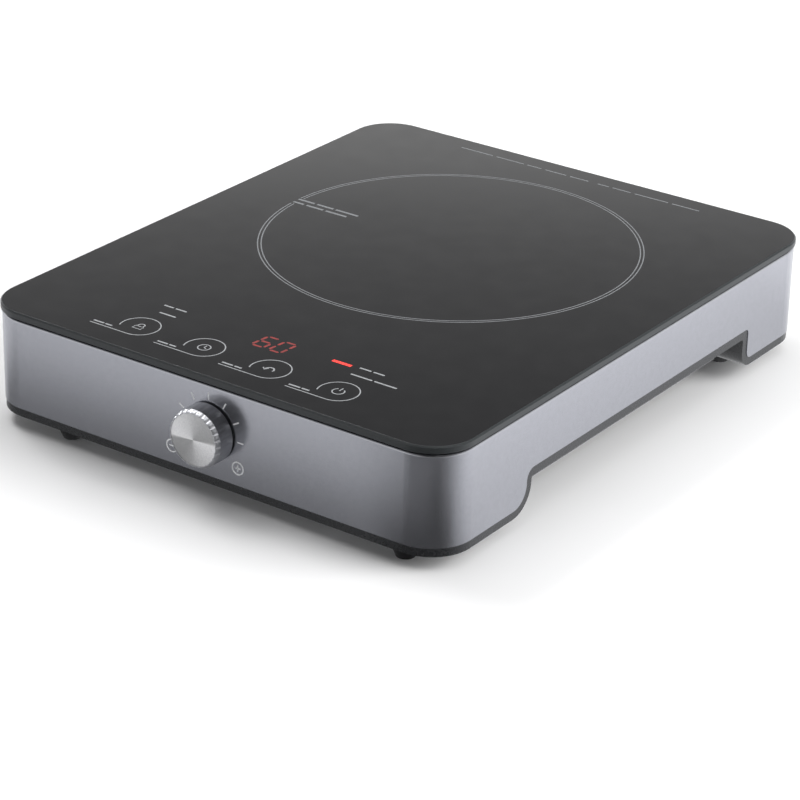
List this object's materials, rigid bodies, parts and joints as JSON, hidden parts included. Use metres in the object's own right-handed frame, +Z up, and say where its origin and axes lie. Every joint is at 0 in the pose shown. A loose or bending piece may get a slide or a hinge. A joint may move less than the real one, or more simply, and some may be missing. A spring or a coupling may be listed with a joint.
{
  "type": "portable induction hob",
  "caption": "Portable single-zone induction hob: a flat black glass top on a satin metal sleeve, with side lifting notches, touch keys and one front knob.",
  "frame": {"origin": "on the table, under the middle of the hob's overall box, at the bottom of the feet", "axes": "+Z up; +Y to the back, where the cord gland is; the knob is on the front, towards -Y; +X to the right as seen from the front"},
  "size_m": [0.29, 0.3744, 0.0668],
  "materials": {
    "ceramic_glass": "gloss",
    "sleeve_paint": "satin",
    "tray_plastic": "matte",
    "foot_rubber": "matte",
    "seal_silicone": "matte",
    "knob_chrome": "polished",
    "knob_aluminium": "spun",
    "steel": "satin",
    "inner_plastic": "matte",
    "circuit_board": "gloss",
    "copper": "satin",
    "ferrite": "matte",
    "mica": "matte",
    "silicone_white": "matte",
    "aluminium": "satin",
    "package_black": "matte",
    "capacitor_film": "gloss",
    "capacitor_can": "gloss",
    "cable": "matte",
    "lead_sleeving": "matte",
    "contact_brass": "satin",
    "display_red": "gloss",
    "terminal_green": "matte"
  },
  "bodies": {
    "root": {"glass_plate": "ceramic_glass", "glass_seal": "seal_silicone", "sleeve": "sleeve_paint", "base_tray": "tray_plastic", "upper_frame": "inner_plastic", "base_screws": "steel", "foot_front_left": "foot_rubber", "foot_front_right": "foot_rubber", "foot_rear_left": "foot_rubber", "foot_rear_right": "foot_rubber", "encoder_body": "package_black", "encoder_washer": "steel", "encoder_nut": "steel", "encoder_board": "circuit_board", "coil_carrier": "inner_plastic", "coil_screws": "steel", "induction_coil": "copper", "ferrite_bars": "ferrite", "mica_sheet": "mica", "sensor_cap": "silicone_white", "thermistor": "package_black", "coil_leads": "lead_sleeving", "power_board": "circuit_board", "board_screws": "steel", "heatsink": "aluminium", "igbt": "package_black", "bridge_rectifier": "package_black", "filter_choke": "copper", "film_capacitors": "capacitor_film", "electrolytic_capacitor": "capacitor_can", "relay": "package_black", "fuse": "contact_brass", "terminal_block": "terminal_green", "fan_frame": "package_black", "fan_stator": "copper", "fan_screws": "steel", "panel_carrier": "inner_plastic", "panel_screws": "steel", "control_board": "circuit_board", "touch_springs": "contact_brass", "display_module": "display_red", "indicator_lights": "display_red", "buzzer": "package_black", "ribbon_cable": "cable", "cord_gland": "tray_plastic", "gland_nut": "inner_plastic"},
    "knob": {"knob_body": "knob_chrome", "knob_face_disc": "knob_aluminium", "encoder_shaft": "aluminium"},
    "fan": {"fan_rotor": "package_black"}
  },
  "joints": [
    {"name": "knob_turn", "type": "hinge", "parent": "root", "child": "knob", "pos_m": [0.0042, -0.1742, 0.0372], "axis": [0, -1, 0], "continuous": true},
    {"name": "fan_spin", "type": "hinge", "parent": "root", "child": "fan", "pos_m": [-0.082, -0.048, 0.03], "axis": [0, 0, 1], "continuous": true}
  ]
}
